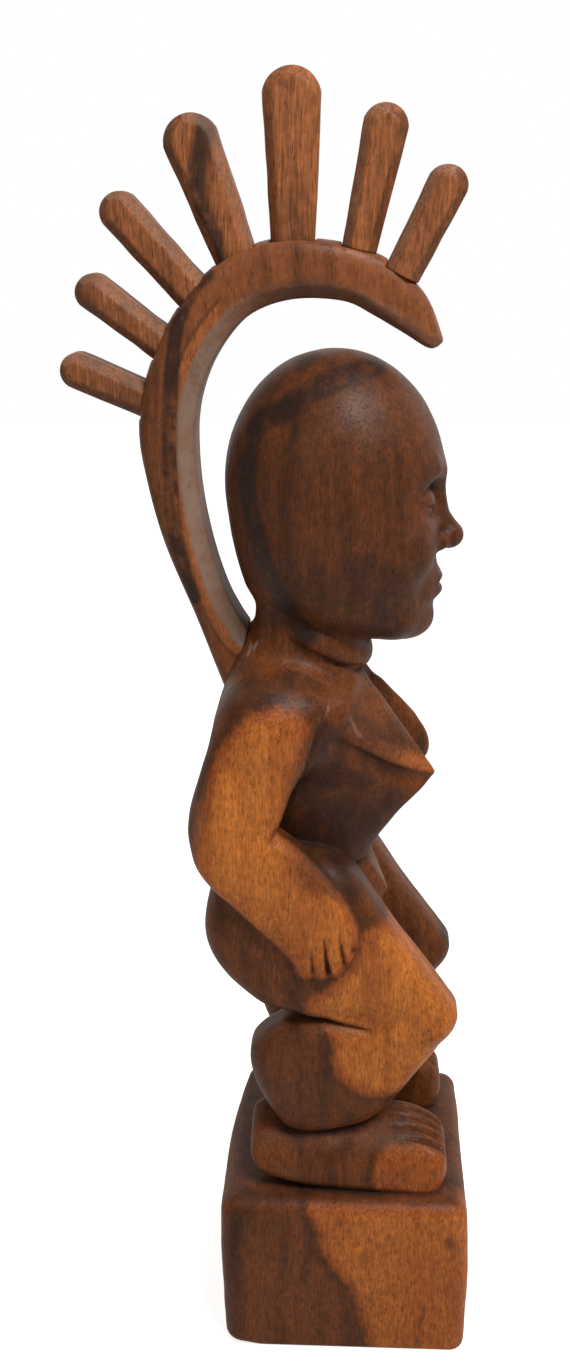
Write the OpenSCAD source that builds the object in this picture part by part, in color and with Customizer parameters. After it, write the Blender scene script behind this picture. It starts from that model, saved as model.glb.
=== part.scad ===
// Carved standing figure on a square plinth, with a curved crest and seven rays doweled to it.
// The figure faces -Y and stands on the plane Z = 0, with its plane of symmetry at X = 0.
// Heights above the plinth are measured from the plinth's top.

/* [Plinth] */
// Width of the square plinth, side to side and front to back
plinth_w = 113; // [108:1:124]
// Height of the plinth
plinth_h = 83; // [60:1:100]
// Radius of the plinth's worn top edges and upright corners
plinth_round = 7; // [4:1:9]
// Radius of the plinth's bottom edges
plinth_foot_round = 2; // [1:0.5:3]

/* [Head and limbs] */
// Height of the head from chin to crown
head_h = 122; // [112:1:128]
// Width of the head over the temples
head_w = 78; // [70:1:86]
// Distance of each knee from the plane of symmetry
knee_x = 32; // [30:1:34]
// Distance of each elbow from the plane of symmetry
elbow_x = 44; // [42:1:46]

/* [Crest] */
// Thickness of the crest board, side to side
crest_t = 27; // [24:1:32]
// Thickness of the crest's narrowed inner and outer edges
crest_edge_t = 17; // [14:1:20]

/* [Rays] */
// Thickness of each ray on its flat middle, side to side
ray_t = 19; // [16:1:22]
// Width of the bevel along each ray's long edges
ray_bevel = 4; // [3:0.5:5]

/* [Dowels] */
// Diameter of the wooden dowels
dowel_d = 6; // [5:0.5:8]
// Length of each ray's dowel
ray_dowel_l = 24; // [18:1:26]
// Depth of each crest dowel inside the figure
crest_dowel_in = 20; // [16:1:24]
// Room for glue round each dowel
glue_gap = 0.05; // [0.02:0.01:0.1]

/* [Hidden] */
RAYS = 7;

hull_fn = 20;
small_fn = 14;
section_steps = 4;
overcut = 1;
blind_end = 1;

// The crest's edge curves, as [y, z] above the plinth's top, from its foot to its tip.
crest_outer = [
    [50.5, 223], [56, 238], [66, 266], [77, 295], [83.5, 321], [86, 345], [80.5, 369], [68.5, 391.5],
    [50, 410], [28, 417.5], [3, 416], [-17, 408.5], [-31, 395], [-37.5, 381], [-38.5, 378]
];
crest_inner = [
    [42.5, 257.5], [46.5, 264], [52, 276], [58, 296], [62, 320], [62.5, 345], [58, 363.5], [49.5, 378.5],
    [38, 389.5], [22, 394.5], [2, 393.5], [-10, 388], [-21, 381.5], [-31.5, 375], [-36, 375.5]
];

// Each ray: middle of its root, middle of its tip, root width and tip width.
ray_shapes = [
    [[83, 355], [117.5, 369.5], 14, 14.5],
    [[75, 377.5], [108.5, 402], 13.5, 14.5],
    [[62.5, 397.5], [96, 434], 15, 16],
    [[44.5, 410.5], [65, 463.5], 17, 21.5],
    [[22, 416], [22, 480.5], 17.5, 22.5],
    [[-4.5, 414.5], [-16, 466.5], 14, 17.5],
    [[-22, 404.5], [-42, 443.5], 14.5, 16]
];

// The crest's foot lies on a flat seat cut into the upper back.
seat_foot = crest_outer[0];
seat_head = crest_inner[0];
seat_mid = (seat_foot + seat_head) / 2;
seat_lean = atan2(seat_foot.x - seat_head.x, seat_head.y - seat_foot.y);
seat_l = norm(seat_head - seat_foot);
crest_dowel_offsets = [-3, 10];
crest_dowel_out = [5.5, 11];

function between(a, b, t) = a + (b - a) * t;

// Point on a smooth curve through a list of points, at span i and share t of that span.
function curve_at(points, i, t) =
    let (
        n = len(points) - 1,
        a = points[max(i - 1, 0)],
        b = points[i],
        c = points[min(i + 1, n)],
        d = points[min(i + 2, n)]
    )
    0.5 * (2 * b + (c - a) * t + (2 * a - 5 * b + 4 * c - d) * pow(t, 2)
        + (3 * b - a - 3 * c + d) * pow(t, 3));

function smooth(points) = concat(
    [for (i = [0:len(points) - 2], k = [0:section_steps - 1]) curve_at(points, i, k / section_steps)],
    [points[len(points) - 1]]
);

// Eight-sided section of the crest between an outer and an inner edge point.
function crest_section(outer, inner, share) =
    let (
        half = crest_t / 2 * between(1, 0.62, pow(share, 3)),
        edge = crest_edge_t / 2 * between(1, 0.55, pow(share, 3)),
        from_outer = between(outer, inner, 0.2),
        from_inner = between(outer, inner, between(0.72, 0.86, share))
    )
    [
        [-edge, outer.x, outer.y], [edge, outer.x, outer.y],
        [half, from_outer.x, from_outer.y], [half, from_inner.x, from_inner.y],
        [edge, inner.x, inner.y], [-edge, inner.x, inner.y],
        [-half, from_inner.x, from_inner.y], [-half, from_outer.x, from_outer.y]
    ];

function ring_faces(rings, sides) = concat(
    [[for (s = [sides - 1:-1:0]) s]],
    [for (r = [0:rings - 2], s = [0:sides - 1]) let (next = (s + 1) % sides)
        each [
            [r * sides + s, (r + 1) * sides + next, (r + 1) * sides + s],
            [r * sides + s, r * sides + next, (r + 1) * sides + next]
        ]],
    [[for (s = [0:sides - 1]) (rings - 1) * sides + s]]
);

module both_sides() {
    children();
    mirror([1, 0, 0]) children();
}

module blob(at, size, lean = 0) {
    translate(at) rotate([lean, 0, 0]) scale(size) sphere(r = 1, $fn = hull_fn);
}

module small_blob(at, size) {
    translate(at) scale(size) sphere(r = 1, $fn = small_fn);
}

module plinth() {
    half = plinth_w / 2 - plinth_round;
    hull()
        for (x = [-half, half], y = [-half, half]) {
            translate([x, y, plinth_h - plinth_round]) sphere(r = plinth_round, $fn = 16);
            translate([x, y, plinth_foot_round]) cylinder(r = plinth_round, h = 1, $fn = 16);
            translate([x, y, 0]) cylinder(r = plinth_round - plinth_foot_round, h = 1, $fn = 16);
        }
}

// Foot of four toes and a big toe, with its flat sole on the plinth.
module foot() {
    hull() {
        blob([31, 28, 12], [15, 17, 17]);
        blob([31, 2, 22], [13, 22, 14]);
        blob([33, -28, 13], [16, 14, 12.5]);
    }
    for (i = [0:3])
        hull() {
            small_blob([28.5 + 5.6 * i, -30, 11 - i], [4.2, 6, 10 - i]);
            small_blob([28.5 + 5.6 * i, -41 + 1.5 * i, 7 - i], [3.6, 6, 9 - i]);
        }
    hull() {
        small_blob([21.5, -30, 13], [5, 6, 11]);
        small_blob([21.5, -42, 8], [5, 7, 10]);
    }
}

module lower_leg() {
    hull() {
        blob([31, 2, 34], [15, 22, 13]);
        blob([30, 22, 62], [17, 21, 22]);
        blob([31, 10, 76], [15, 22, 8]);
        blob([knee_x, -29, 76], [14, 16, 15]);
    }
}

module thigh() {
    hull() {
        blob([27, 28.5, 127], [23, 34, 41]);
        blob([29, 4, 147], [17, 13, 14]);
        blob([knee_x, -36, 88], [13.5, 13, 9]);
        blob([34, -10, 94], [15, 18, 12]);
    }
}

// The knee joins the thigh to the shin in front of the crease.
module knee() {
    hull() {
        blob([knee_x, -35.5, 87], [13.5, 12.5, 9]);
        blob([knee_x, -18, 92], [14.5, 14, 12]);
        blob([knee_x, -19, 66], [14.5, 15, 14]);
    }
}

module pelvis() {
    hull() {
        blob([0, 20, 128], [26, 30, 36]);
        blob([0, 12, 148], [30, 25, 12]);
    }
    hull() {
        small_blob([0, -3, 150], [8, 6, 5]);
        small_blob([0, -14, 135], [4, 4, 4]);
        small_blob([0, 10, 130], [16, 10, 10]);
    }
}

module torso() {
    hull() {
        blob([0, 8, 152], [27, 19, 12]);
        blob([0, 9, 200], [36, 26, 24]);
    }
    hull() {
        blob([0, 10, 205], [36, 26, 24]);
        blob([0, 22, 230], [33, 25, 19]);
    }
}

// The breasts and chest taper forward to a ridge, and their undersides sweep back to the waist.
module breast() {
    hull() {
        small_blob([17, 2, 212], [18, 14, 20]);
        small_blob([11, 2, 234], [11, 9, 8]);
        small_blob([16, -34.5, 195.5], [4.5, 4.5, 4]);
        small_blob([13, -1, 160], [9, 9, 7]);
    }
}

module upper_arm() {
    hull() {
        blob([33, 26, 227], [18, 26, 22]);
        blob([39, 33, 208], [12, 27, 18]);
        blob([elbow_x, 45.5, 175], [10.5, 21.5, 20]);
    }
}

module forearm() {
    hull() {
        blob([elbow_x, 44.5, 174], [10.5, 21.5, 18]);
        blob([elbow_x, 13, 140], [10, 19, 15]);
        blob([elbow_x, 8, 131], [9, 15.5, 14]);
    }
}

// Hand laid flat on the thigh, with four fingers and a thumb parted by slits.
module hand() {
    hull() {
        blob([elbow_x, 8, 132], [9, 15.5, 13]);
        small_blob([elbow_x, 9.5, 119], [8, 13, 8]);
    }
    finger_tips = [[17, 109.5], [10.2, 107.5], [3.2, 111], [-1.5, 116]];
    finger_roots = [[18, 120], [11, 120], [4.5, 122], [0, 127]];
    for (i = [0:3])
        hull() {
            small_blob([elbow_x, finger_roots[i].x, finger_roots[i].y], [8.5, 4.6, 5]);
            small_blob([elbow_x, finger_tips[i].x, finger_tips[i].y], [7.5, 4.2, 5]);
        }
    hull() {
        small_blob([elbow_x - 3, 0, 133], [6, 5, 6]);
        small_blob([elbow_x - 4, -3.5, 125], [6, 3.5, 4]);
    }
}

module neck() {
    hull() {
        blob([0, 14, 240], [24, 25, 7]);
        blob([0, 18, 262], [23, 24, 20]);
    }
    hull() {
        blob([0, 8, 239], [20, 19.5, 4.5]);
        blob([0, 8, 246], [20, 20, 4.5]);
    }
    hull() {
        blob([0, 20, 232], [36, 25, 10]);
        blob([0, 24, 252], [20, 20, 10]);
    }
}

// The face is plain, with its eye line at half of the head's height.
module head() {
    chin_z = 253;
    eye_z = chin_z + 0.5 * head_h;
    nose_z = chin_z + 0.34 * head_h;
    mouth_z = chin_z + 0.2 * head_h;
    hull() {
        blob([0, 7.5, chin_z + 0.57 * head_h], [head_w / 2, 45.5, 0.43 * head_h]);
        blob([0, 14, chin_z + 22], [head_w / 2 - 12, 27, 22]);
        blob([0, -14, chin_z + 14], [18, 17, 14]);
    }
    hull() both_sides() small_blob([15, -30, eye_z + 13], [9, 6, 5]);
    hull() {
        small_blob([0, -34, eye_z + 9], [3.5, 4, 5]);
        small_blob([0, -41, nose_z + 2], [5, 5, 5]);
        both_sides() small_blob([6, -34, nose_z], [3.5, 4, 4]);
    }
    both_sides() small_blob([15, -30.5, eye_z], [9.5, 5.5, 5.5]);
    hull() {
        small_blob([0, -34.5, mouth_z + 3], [6, 3.5, 2.6]);
        both_sides() small_blob([10, -29, mouth_z + 1], [2.5, 2.5, 2]);
    }
    hull() {
        small_blob([0, -33.5, mouth_z - 3.5], [6, 3.5, 3]);
        both_sides() small_blob([8, -29, mouth_z - 1.5], [2.5, 2.5, 2]);
    }
    small_blob([0, -25, chin_z + 9], [11, 8, 8]);
}

module body_masses() {
    both_sides() {
        foot();
        lower_leg();
        thigh();
        knee();
        breast();
        upper_arm();
        forearm();
        hand();
    }
    pelvis();
    torso();
    neck();
    head();
}

// Places children at the middle of the crest's seat, with +Y leaving the figure's back.
module at_seat() {
    translate([0, seat_mid.x, plinth_h + seat_mid.y]) rotate([seat_lean, 0, 0]) children();
}

module seat_cut() {
    at_seat() translate([-crest_t / 2 - 0.3, 0, -seat_l / 2 - 0.3])
        cube([crest_t + 0.6, 40, seat_l + 0.3]);
}

module crest_bores() {
    for (i = [0, 1])
        at_seat() translate([0, -crest_dowel_in - blind_end, crest_dowel_offsets[i]]) rotate([-90, 0, 0])
            cylinder(d = dowel_d + 2 * glue_gap, h = crest_dowel_in + crest_dowel_out[i] + 2 * blind_end, $fn = 32);
}

module figure() {
    color("sienna") difference() {
        union() {
            plinth();
            translate([0, 0, plinth_h]) body_masses();
        }
        seat_cut();
        crest_bores();
    }
}

// Places children at the middle of ray i's root, with +Z along the ray.
module at_root(i) {
    root = ray_shapes[i][0];
    along = ray_shapes[i][1] - root;
    translate([0, root.x, plinth_h + root.y]) rotate([-atan2(along.x, along.y), 0, 0]) children();
}

function ray_length(i) = norm(ray_shapes[i][1] - ray_shapes[i][0]);

module crest_arch() {
    outer = smooth(crest_outer);
    inner = smooth(crest_inner);
    rings = len(outer);
    points = [for (r = [0:rings - 1]) each crest_section(outer[r], inner[r], r / (rings - 1))];
    color("saddlebrown") difference() {
        translate([0, 0, plinth_h]) polyhedron(points, ring_faces(rings, 8));
        for (i = [0:RAYS - 1]) at_root(i) {
            translate([-ray_t, -ray_shapes[i][2] / 2 - 1, 0]) cube([2 * ray_t, ray_shapes[i][2] + 2, 12]);
            translate([0, 0, -ray_dowel_l / 2 - blind_end])
                cylinder(d = dowel_d + 2 * glue_gap, h = ray_dowel_l, $fn = 32);
        }
        crest_bores();
    }
}

// Tapered ray with a flat middle, beveled long edges and a rounded tip.
module ray(i) {
    l = ray_length(i);
    root_w = ray_shapes[i][2];
    tip_w = ray_shapes[i][3];
    tip_r = tip_w / 2;
    edge_t = ray_t - 2 * ray_bevel;
    color("peru") difference() {
        at_root(i) hull() {
            for (side = [-1, 1]) {
                translate([-ray_t / 2, side * (root_w / 2 - ray_bevel) - 0.5, 0]) cube([ray_t, 1, 1]);
                translate([-edge_t / 2, side * (root_w / 2 - 0.5) - 0.5, 0]) cube([edge_t, 1, 1]);
            }
            translate([0, 0, l - tip_r]) rotate([0, 90, 0]) {
                cylinder(r = tip_r, h = edge_t, center = true, $fn = 32);
                cylinder(r = tip_r - ray_bevel, h = ray_t, center = true, $fn = 32);
            }
        }
        at_root(i) translate([0, 0, -overcut])
            cylinder(d = dowel_d + 2 * glue_gap, h = ray_dowel_l / 2 + blind_end + overcut, $fn = 32);
    }
}

module ray_dowel(i) {
    color("burlywood") at_root(i) translate([0, 0, -ray_dowel_l / 2])
        cylinder(d = dowel_d, h = ray_dowel_l, $fn = 32);
}

module crest_dowel(i) {
    color("burlywood") at_seat() translate([0, -crest_dowel_in, crest_dowel_offsets[i]]) rotate([-90, 0, 0])
        cylinder(d = dowel_d, h = crest_dowel_in + crest_dowel_out[i], $fn = 32);
}

figure();
crest_arch();
for (i = [1:RAYS]) {
    ray(i - 1);
    ray_dowel(i - 1);
}
for (i = [1, 2])
    crest_dowel(i - 1);
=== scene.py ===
"""Carved wooden figure on a plinth, with a crest and rays: the visual model over the CAD frame.

The figure, the crest and the rays are sculpted as distance fields in millimetres, turned into meshes, and
given one procedural wood with an upright grain. f is the distance forward of the plinth's centre (the figure
faces -Y), x is the distance from the plane of symmetry and z is the height.
"""

import math

import bpy
import numpy as np
import openvdb
from mathutils import Matrix, Vector


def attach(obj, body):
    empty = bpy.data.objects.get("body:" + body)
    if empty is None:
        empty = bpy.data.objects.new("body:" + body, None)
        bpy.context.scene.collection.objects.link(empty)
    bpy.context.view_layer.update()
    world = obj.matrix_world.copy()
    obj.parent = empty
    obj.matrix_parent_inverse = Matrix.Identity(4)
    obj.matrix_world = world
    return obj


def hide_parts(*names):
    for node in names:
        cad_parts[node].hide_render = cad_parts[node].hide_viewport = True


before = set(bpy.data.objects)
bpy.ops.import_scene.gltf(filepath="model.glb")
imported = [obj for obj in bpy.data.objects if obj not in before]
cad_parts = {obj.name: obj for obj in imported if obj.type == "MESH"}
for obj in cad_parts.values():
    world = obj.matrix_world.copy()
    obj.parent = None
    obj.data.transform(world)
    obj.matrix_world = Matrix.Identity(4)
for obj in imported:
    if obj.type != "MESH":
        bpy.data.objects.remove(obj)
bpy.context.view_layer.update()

rng = np.random.default_rng(7)

MM = 0.001
FAR = 30.0
VOXEL = 0.95
CREST_VOXEL = 0.75
RAY_VOXEL = 0.65

PLINTH = 56.5
PLINTH_TOP = 82.0


# ---- distance-field tools

def smooth_min(a, b, k):
    h = np.maximum(k - np.abs(a - b), 0.0) / k
    return np.minimum(a, b) - h * h * k * 0.25


def smooth_max(a, b, k):
    return -smooth_min(-a, -b, k)


def ramp(v, a, b, start, end):
    """Goes from start to end as v goes from a to b, with a soft beginning and end."""
    t = np.clip((v - a) / (b - a), 0, 1)
    t = t * t * (3 - 2 * t)
    return start + (end - start) * t


def rounded_corner(q1, q2):
    """Distance from the centre of a corner's rounding, given the distances past it towards two faces."""
    return np.sqrt(np.maximum(q1, 0) ** 2 + np.maximum(q2, 0) ** 2) + np.minimum(np.maximum(q1, q2), 0)


def curve_points(points, closed=True, steps=6):
    """Catmull-Rom curve through (a, b) points; a point with a third value of 1 is a sharp corner."""
    n = len(points)
    out = []
    for i in range(n if closed else n - 1):
        p1 = points[i]
        p2 = points[(i + 1) % n]
        p0 = points[i - 1] if (closed or i > 0) else p1
        p3 = points[(i + 2) % n] if (closed or i + 2 < n) else p2
        if len(p1) > 2:
            p0 = p1
        if len(p2) > 2:
            p3 = p2
        q0, q1, q2, q3 = (np.array(p[:2], float) for p in (p0, p1, p2, p3))
        for s in range(steps):
            t = s / steps
            out.append(0.5 * (2 * q1 + (q2 - q0) * t + (2 * q0 - 5 * q1 + 4 * q2 - q3) * t ** 2
                              + (3 * q1 - q0 - 3 * q2 + q3) * t ** 3))
    if not closed:
        out.append(np.array(points[-1][:2], float))
    return np.array(out)


def curve_distance(points, a, b):
    """Distance from the points (a, b) to an open polyline."""
    best = np.full(np.broadcast(a, b).shape, 1e9, np.float32)
    for p, q in zip(points[:-1], points[1:]):
        e = q - p
        wa = a - p[0]
        wb = b - p[1]
        t = np.clip((wa * e[0] + wb * e[1]) / max(float(e @ e), 1e-9), 0, 1)
        best = np.minimum(best, (wa - e[0] * t) ** 2 + (wb - e[1] * t) ** 2)
    return np.sqrt(best)


def outline_distance(points, a, b):
    """Signed distance from the points (a, b) to a closed polygon, negative inside."""
    inside = np.zeros(np.broadcast(a, b).shape, bool)
    loop = np.concatenate([points, points[:1]])
    for p, q in zip(loop[:-1], loop[1:]):
        if p[1] != q[1]:
            crosses = (p[1] > b) != (q[1] > b)
            inside ^= crosses & (a < (q[0] - p[0]) * (b - p[1]) / (q[1] - p[1]) + p[0])
    best = curve_distance(loop, a, b)
    return np.where(inside, -best, best).astype(np.float32)


class Sculpt:
    """A block of distance values over x, f and z in millimetres."""

    def __init__(self, low, high, voxel):
        self.low = np.array(low, float)
        self.voxel = voxel
        counts = np.ceil((np.array(high, float) - self.low) / voxel).astype(int) + 1
        self.x = (self.low[0] + voxel * np.arange(counts[0])).astype(np.float32)
        self.f = (self.low[1] + voxel * np.arange(counts[1])).astype(np.float32)
        self.z = (self.low[2] + voxel * np.arange(counts[2])).astype(np.float32)
        self.d = np.full(counts, FAR, np.float32)

    def blank(self):
        other = object.__new__(Sculpt)
        other.__dict__.update(self.__dict__)
        other.d = np.full(self.d.shape, FAR, np.float32)
        return other

    def region(self, low, high):
        cut = []
        for values, a, b in zip((self.x, self.f, self.z), low, high):
            i = int(np.searchsorted(values, a))
            j = int(np.searchsorted(values, b))
            cut.append(slice(max(i - 1, 0), min(j + 1, len(values))))
        sx, sf, sz = cut
        return (sx, sf, sz), self.x[sx][:, None, None], self.f[sf][None, :, None], self.z[sz][None, None, :]

    def blend(self, shape, k, sign):
        fn, low, high = shape
        pad = k + 2 * self.voxel + 2
        cut, x, f, z = self.region([v - pad for v in low], [v + pad for v in high])
        self.d[cut] = sign * smooth_min(sign * self.d[cut], fn(x, f, z), k)

    def add(self, shape, k):
        self.blend(shape, k, 1)

    def carve(self, shape, k):
        self.blend(shape, k, -1)

    def join(self, other, k):
        self.d = smooth_min(self.d, other.d, k)

    def axes(self):
        return self.x[:, None, None], self.f[None, :, None], self.z[None, None, :]


def slab(points, xc, w, rf, rx, crown=0.0, reach=16.0):
    """A side-view outline given a thickness in x, with its edges rounded by rf in the outline and rx in x.

    xc and w, the middle and the half-width, are numbers or functions of f and z, and so is rf. The face domes
    by crown over the distance reach from its edge."""
    loop = curve_points(points)

    def fn(x, f, z):
        d2 = outline_distance(loop, f[0], z[0])[None]
        cx = xc(f, z) if callable(xc) else xc
        cw = w(f, z) if callable(w) else w
        cw = cw - crown * np.clip(1 + d2 / reach, 0, 1) ** 2
        round_f = rf(f, z) if callable(rf) else rf
        q1 = (d2 + round_f) / round_f
        q2 = (np.abs(x - cx) - (cw - rx)) / rx
        return ((rounded_corner(q1, q2) - 1) * np.minimum(round_f, rx)).astype(np.float32)

    return fn, (-70, loop[:, 0].min(), loop[:, 1].min()), (70, loop[:, 0].max(), loop[:, 1].max())


def ellipsoid(centre, radii, lean=0.0):
    """lean turns the ellipsoid about x, in degrees, its top going forward."""
    c, s = math.cos(math.radians(lean)), math.sin(math.radians(lean))

    def fn(x, f, z):
        u = f - centre[1]
        v = z - centre[2]
        a = (x - centre[0]) / radii[0]
        b = (u * c - v * s) / radii[1]
        e = (u * s + v * c) / radii[2]
        k0 = np.sqrt(a * a + b * b + e * e) + 1e-6
        k1 = np.sqrt((a / radii[0]) ** 2 + (b / radii[1]) ** 2 + (e / radii[2]) ** 2) + 1e-6
        return (k0 * (k0 - 1) / k1).astype(np.float32)

    r = max(radii[1], radii[2])
    low = (centre[0] - radii[0], centre[1] - r, centre[2] - r)
    return fn, low, (centre[0] + radii[0], centre[1] + r, centre[2] + r)


def tube(points, radii, squash=(1, 1, 1)):
    """Round cones end to end along 3-D points; squash stretches the section along x, f and z."""
    pts = [np.array(p, float) for p in points]
    sq = np.array(squash, float)

    def fn(x, f, z):
        best = None
        for i in range(len(pts) - 1):
            p = pts[i] / sq
            e = pts[i + 1] / sq - p
            wx, wf, wz = x / sq[0] - p[0], f / sq[1] - p[1], z / sq[2] - p[2]
            t = np.clip((wx * e[0] + wf * e[1] + wz * e[2]) / max(float(e @ e), 1e-9), 0, 1)
            r = radii[i] + (radii[i + 1] - radii[i]) * t
            d = np.sqrt((wx - e[0] * t) ** 2 + (wf - e[1] * t) ** 2 + (wz - e[2] * t) ** 2) - r
            best = d if best is None else np.minimum(best, d)
        return (best * min(squash)).astype(np.float32)

    arr = np.array(pts)
    r = max(radii) * max(squash)
    return fn, tuple(arr.min(0) - r), tuple(arr.max(0) + r)


def facets(planes, low, high, k):
    """The space inside all of the planes, with edges rounded by k.

    Each plane is given as three points on it and a point inside."""
    rows = []
    for p, q, r, inner in planes:
        p, q, r, inner = (np.array(v, float) for v in (p, q, r, inner))
        n = np.cross(q - p, r - p)
        n /= np.linalg.norm(n)
        if (inner - p) @ n > 0:
            n = -n
        rows.append((n, float(n @ p)))

    def fn(x, f, z):
        out = None
        for n, c in rows:
            d = n[0] * x + n[1] * f + n[2] * z - c
            out = d if out is None else smooth_max(out, d, k)
        return out.astype(np.float32)

    return fn, low, high


def beyond(point, normal):
    """Distance before the plane through a point, negative on the side that normal points to."""
    n = np.array(normal, float)
    n /= np.linalg.norm(n)
    return lambda x, f, z: -((x - point[0]) * n[0] + (f - point[1]) * n[1] + (z - point[2]) * n[2])


def groove(s, path, axis, radii, k=0.8):
    """Carves a groove along a path dropped inwards, along the axis, onto the first surface below it."""
    axes = (s.x, s.f, s.z)
    centres = []
    for point in path:
        at = [slice(None) if i == axis else int(np.argmin(np.abs(axes[i] - point[i]))) for i in range(3)]
        line = s.d[tuple(at)][:int(np.searchsorted(axes[axis], point[axis]))]
        last = int(np.flatnonzero(line[:-1] < 0)[-1])
        centre = list(point)
        centre[axis] = float(axes[axis][last] + s.voxel * line[last] / (line[last] - line[last + 1]))
        centres.append(centre)
    s.carve(tube(centres, radii), k)


def unevenness(shape, spacing):
    """Smooth random values from -1 to 1 over a block, with spacing cells between knots."""
    coarse = [int(n / spacing) + 3 for n in shape]
    values = rng.uniform(-1, 1, coarse).astype(np.float32)
    for axis, n in enumerate(shape):
        at = np.arange(n) / spacing
        i = at.astype(int)
        t = (at - i).astype(np.float32)
        t = t * t * (3 - 2 * t)
        t = t.reshape([-1 if a == axis else 1 for a in range(3)])
        values = np.take(values, i, axis) * (1 - t) + np.take(values, i + 1, axis) * t
    return values


def roughen(s, amount, wavelength):
    """Hand-worked unevenness, fading out towards the face that the plinth stands on."""
    hold = np.clip((s.z - 2.0) / 6.0, 0, 1)[None, None, :]
    s.d = s.d + (amount * hold * unevenness(s.d.shape, wavelength / s.voxel)).astype(np.float32)


# ---- the figure and its plinth

def plinth_shape():
    corner = 7.0
    top_edge = 8.0
    swell = 0.6
    taper = 1.3
    rim_drop = 0.9

    def fn(x, f, z):
        half = PLINTH + swell - taper * ((z - 38) / 45) ** 2
        qx = np.abs(x) - half + corner
        qf = np.abs(f) - half + corner - np.where(f < 0, ramp(z, 30, 65, 0, 1.1), 0)
        plan = rounded_corner(qx, qf) - corner
        r = np.where(z > PLINTH_TOP / 2, top_edge, ramp(f, -54, -38, 6.0, 2.0))
        sag = rim_drop * ramp(np.maximum(np.abs(x), np.abs(f)), 30, 50, 0, 1)
        top_or_bottom = np.maximum(z - PLINTH_TOP + sag, -z)
        return (rounded_corner(plan + r, top_or_bottom + r) - r).astype(np.float32)

    return fn, (-58, -58, 0), (58, 58, 84)


def add_foot(s):
    outline = [(-44, 106), (-43, 95), (-36, 87), (-10, 81), (20, 80), (40, 80), (46, 88), (46.5, 97),
               (44, 104), (33, 112), (20, 118), (5, 122), (-20, 124), (-36, 121), (-42.5, 115)]
    fn, low, high = slab(outline, 32.3, lambda f, z: ramp(f, -40, 25, 13.8, 15.9), 6, 7)
    side = beyond((48, 0, 101), (0.55, 0, 0.83))
    inner = beyond((17, 0, 112), (-0.75, 0, 0.66))
    crown = beyond((34, 40, 108), (0.18, 0.55, 0.8))

    def cut(x, f, z):
        out = smooth_max(fn(x, f, z), -side(x, f, z), 9)
        out = smooth_max(out, -inner(x, f, z), 5)
        return smooth_max(out, -crown(x, f, z), 4)

    s.add((cut, low, high), 2)
    above_foot = 126
    for gap_x, back in [(39.5, 25), (34.3, 21), (29.3, 19), (24.3, 18)]:
        path = [(gap_x, f, above_foot) for f in (back, back + 8, 37, 41, 44)]
        groove(s, path, 2, [0.3, 0.9, 1.4, 1.7, 1.7])
    ball_line = [(40, 26, 109.5), (45, 20, 105), (48.6, 16.5, 98), (49, 16, 86)]
    s.carve(tube(ball_line, [0.6, 1.1, 1.3, 1.1], (1.4, 1, 1)), 0.7)


def add_leg(s):
    def calf_half(f, z):
        lower = ramp(z, 108, 142, 13.2, 15.9) - ramp(f, 15, 48, 0, 0.8)
        return lower - ramp(z, 162, 172, 0, 1.4) * ramp(f, -2, 12, 1, 0)

    def thigh_edge(f, z):
        upper_edge = ramp(z, 170, 186, 2.2, 8)
        back_edge = ramp(f, -44, -32, 7, 2.2)
        knee_edge = ramp(f, 14, 32, 2.2, 6.5)
        return np.maximum(np.maximum(upper_edge, back_edge), knee_edge)

    calf = [(47, 168), (42.5, 155.5), (32, 140), (23, 127), (15, 117.5), (4, 111), (-15, 107), (-27, 109),
            (-33.5, 117), (-39, 129), (-43, 143), (-42.3, 153), (-37.6, 159), (-31.5, 163.3), (-26, 167),
            (-12, 170.5), (0, 170), (9, 168, 1), (30, 174)]
    leg = s.blank()
    leg.add(slab(calf, 31.5, calf_half, 8, 9, 3.5, 22), 3)
    thigh = [(-60, 228), (-62, 214), (-60, 202.5), (-54, 191.5), (-46, 182.5), (-37, 176), (-27, 173.4),
             (-12, 170), (0, 167), (9, 164.6, 1), (28, 158), (43, 160), (50, 169.5), (45.5, 178.5),
             (38.5, 189), (31, 199.5), (22.5, 211.5), (12, 228), (3, 240), (-12, 248), (-35, 250),
             (-55, 242)]
    upper = s.blank()
    upper.add(slab(thigh, lambda f, z: ramp(f, -34, 8, 24, 31.8),
                   lambda f, z: ramp(f, -34, 8, 23, 15.7), thigh_edge, 8.5, 3.2, 30), 0.5)
    leg.join(upper, ramp(s.f, 9, 24, 0.5, 5)[None, :, None])
    s.join(leg, 1.5)
    crease = [(50, -36, 177.5), (49.5, -12, 170.2), (49, 10.5, 163.8)]
    s.carve(tube(crease, [1.3, 1.0, 0.3], (2.4, 1, 1)), 0.6)


def add_seat(s):
    seat = [(-54, 232), (-57, 216), (-53, 200), (-44, 187), (-30, 179), (-12, 181), (0, 193), (4, 212),
            (4, 228), (0, 240), (-10, 244), (-45, 244)]
    s.add(slab(seat, 0, 26, 14, 16), 5)
    front = [(0, 12.2, 233), (4, 10, 233), (0, 19.6, 214)]
    side = [(5, 9.5, 233), (0.5, 19, 214.5), (20, -4, 233)]
    core = (0, -10, 225)
    under = [(0, 18.8, 214), (10, 8, 200), (-10, 8, 200)]
    rear = [(0, -20, 200), (10, -20, 200), (0, -20, 240)]
    lid = [(0, 0, 239), (10, 0, 239), (0, 10, 239)]
    planes = [(*side, core), (*front, core), (*under, core), (*rear, core), (*lid, core)]
    s.add(facets(planes, (-2, -20, 200), (28, 20, 240), 1.6), 2.0)


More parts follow.
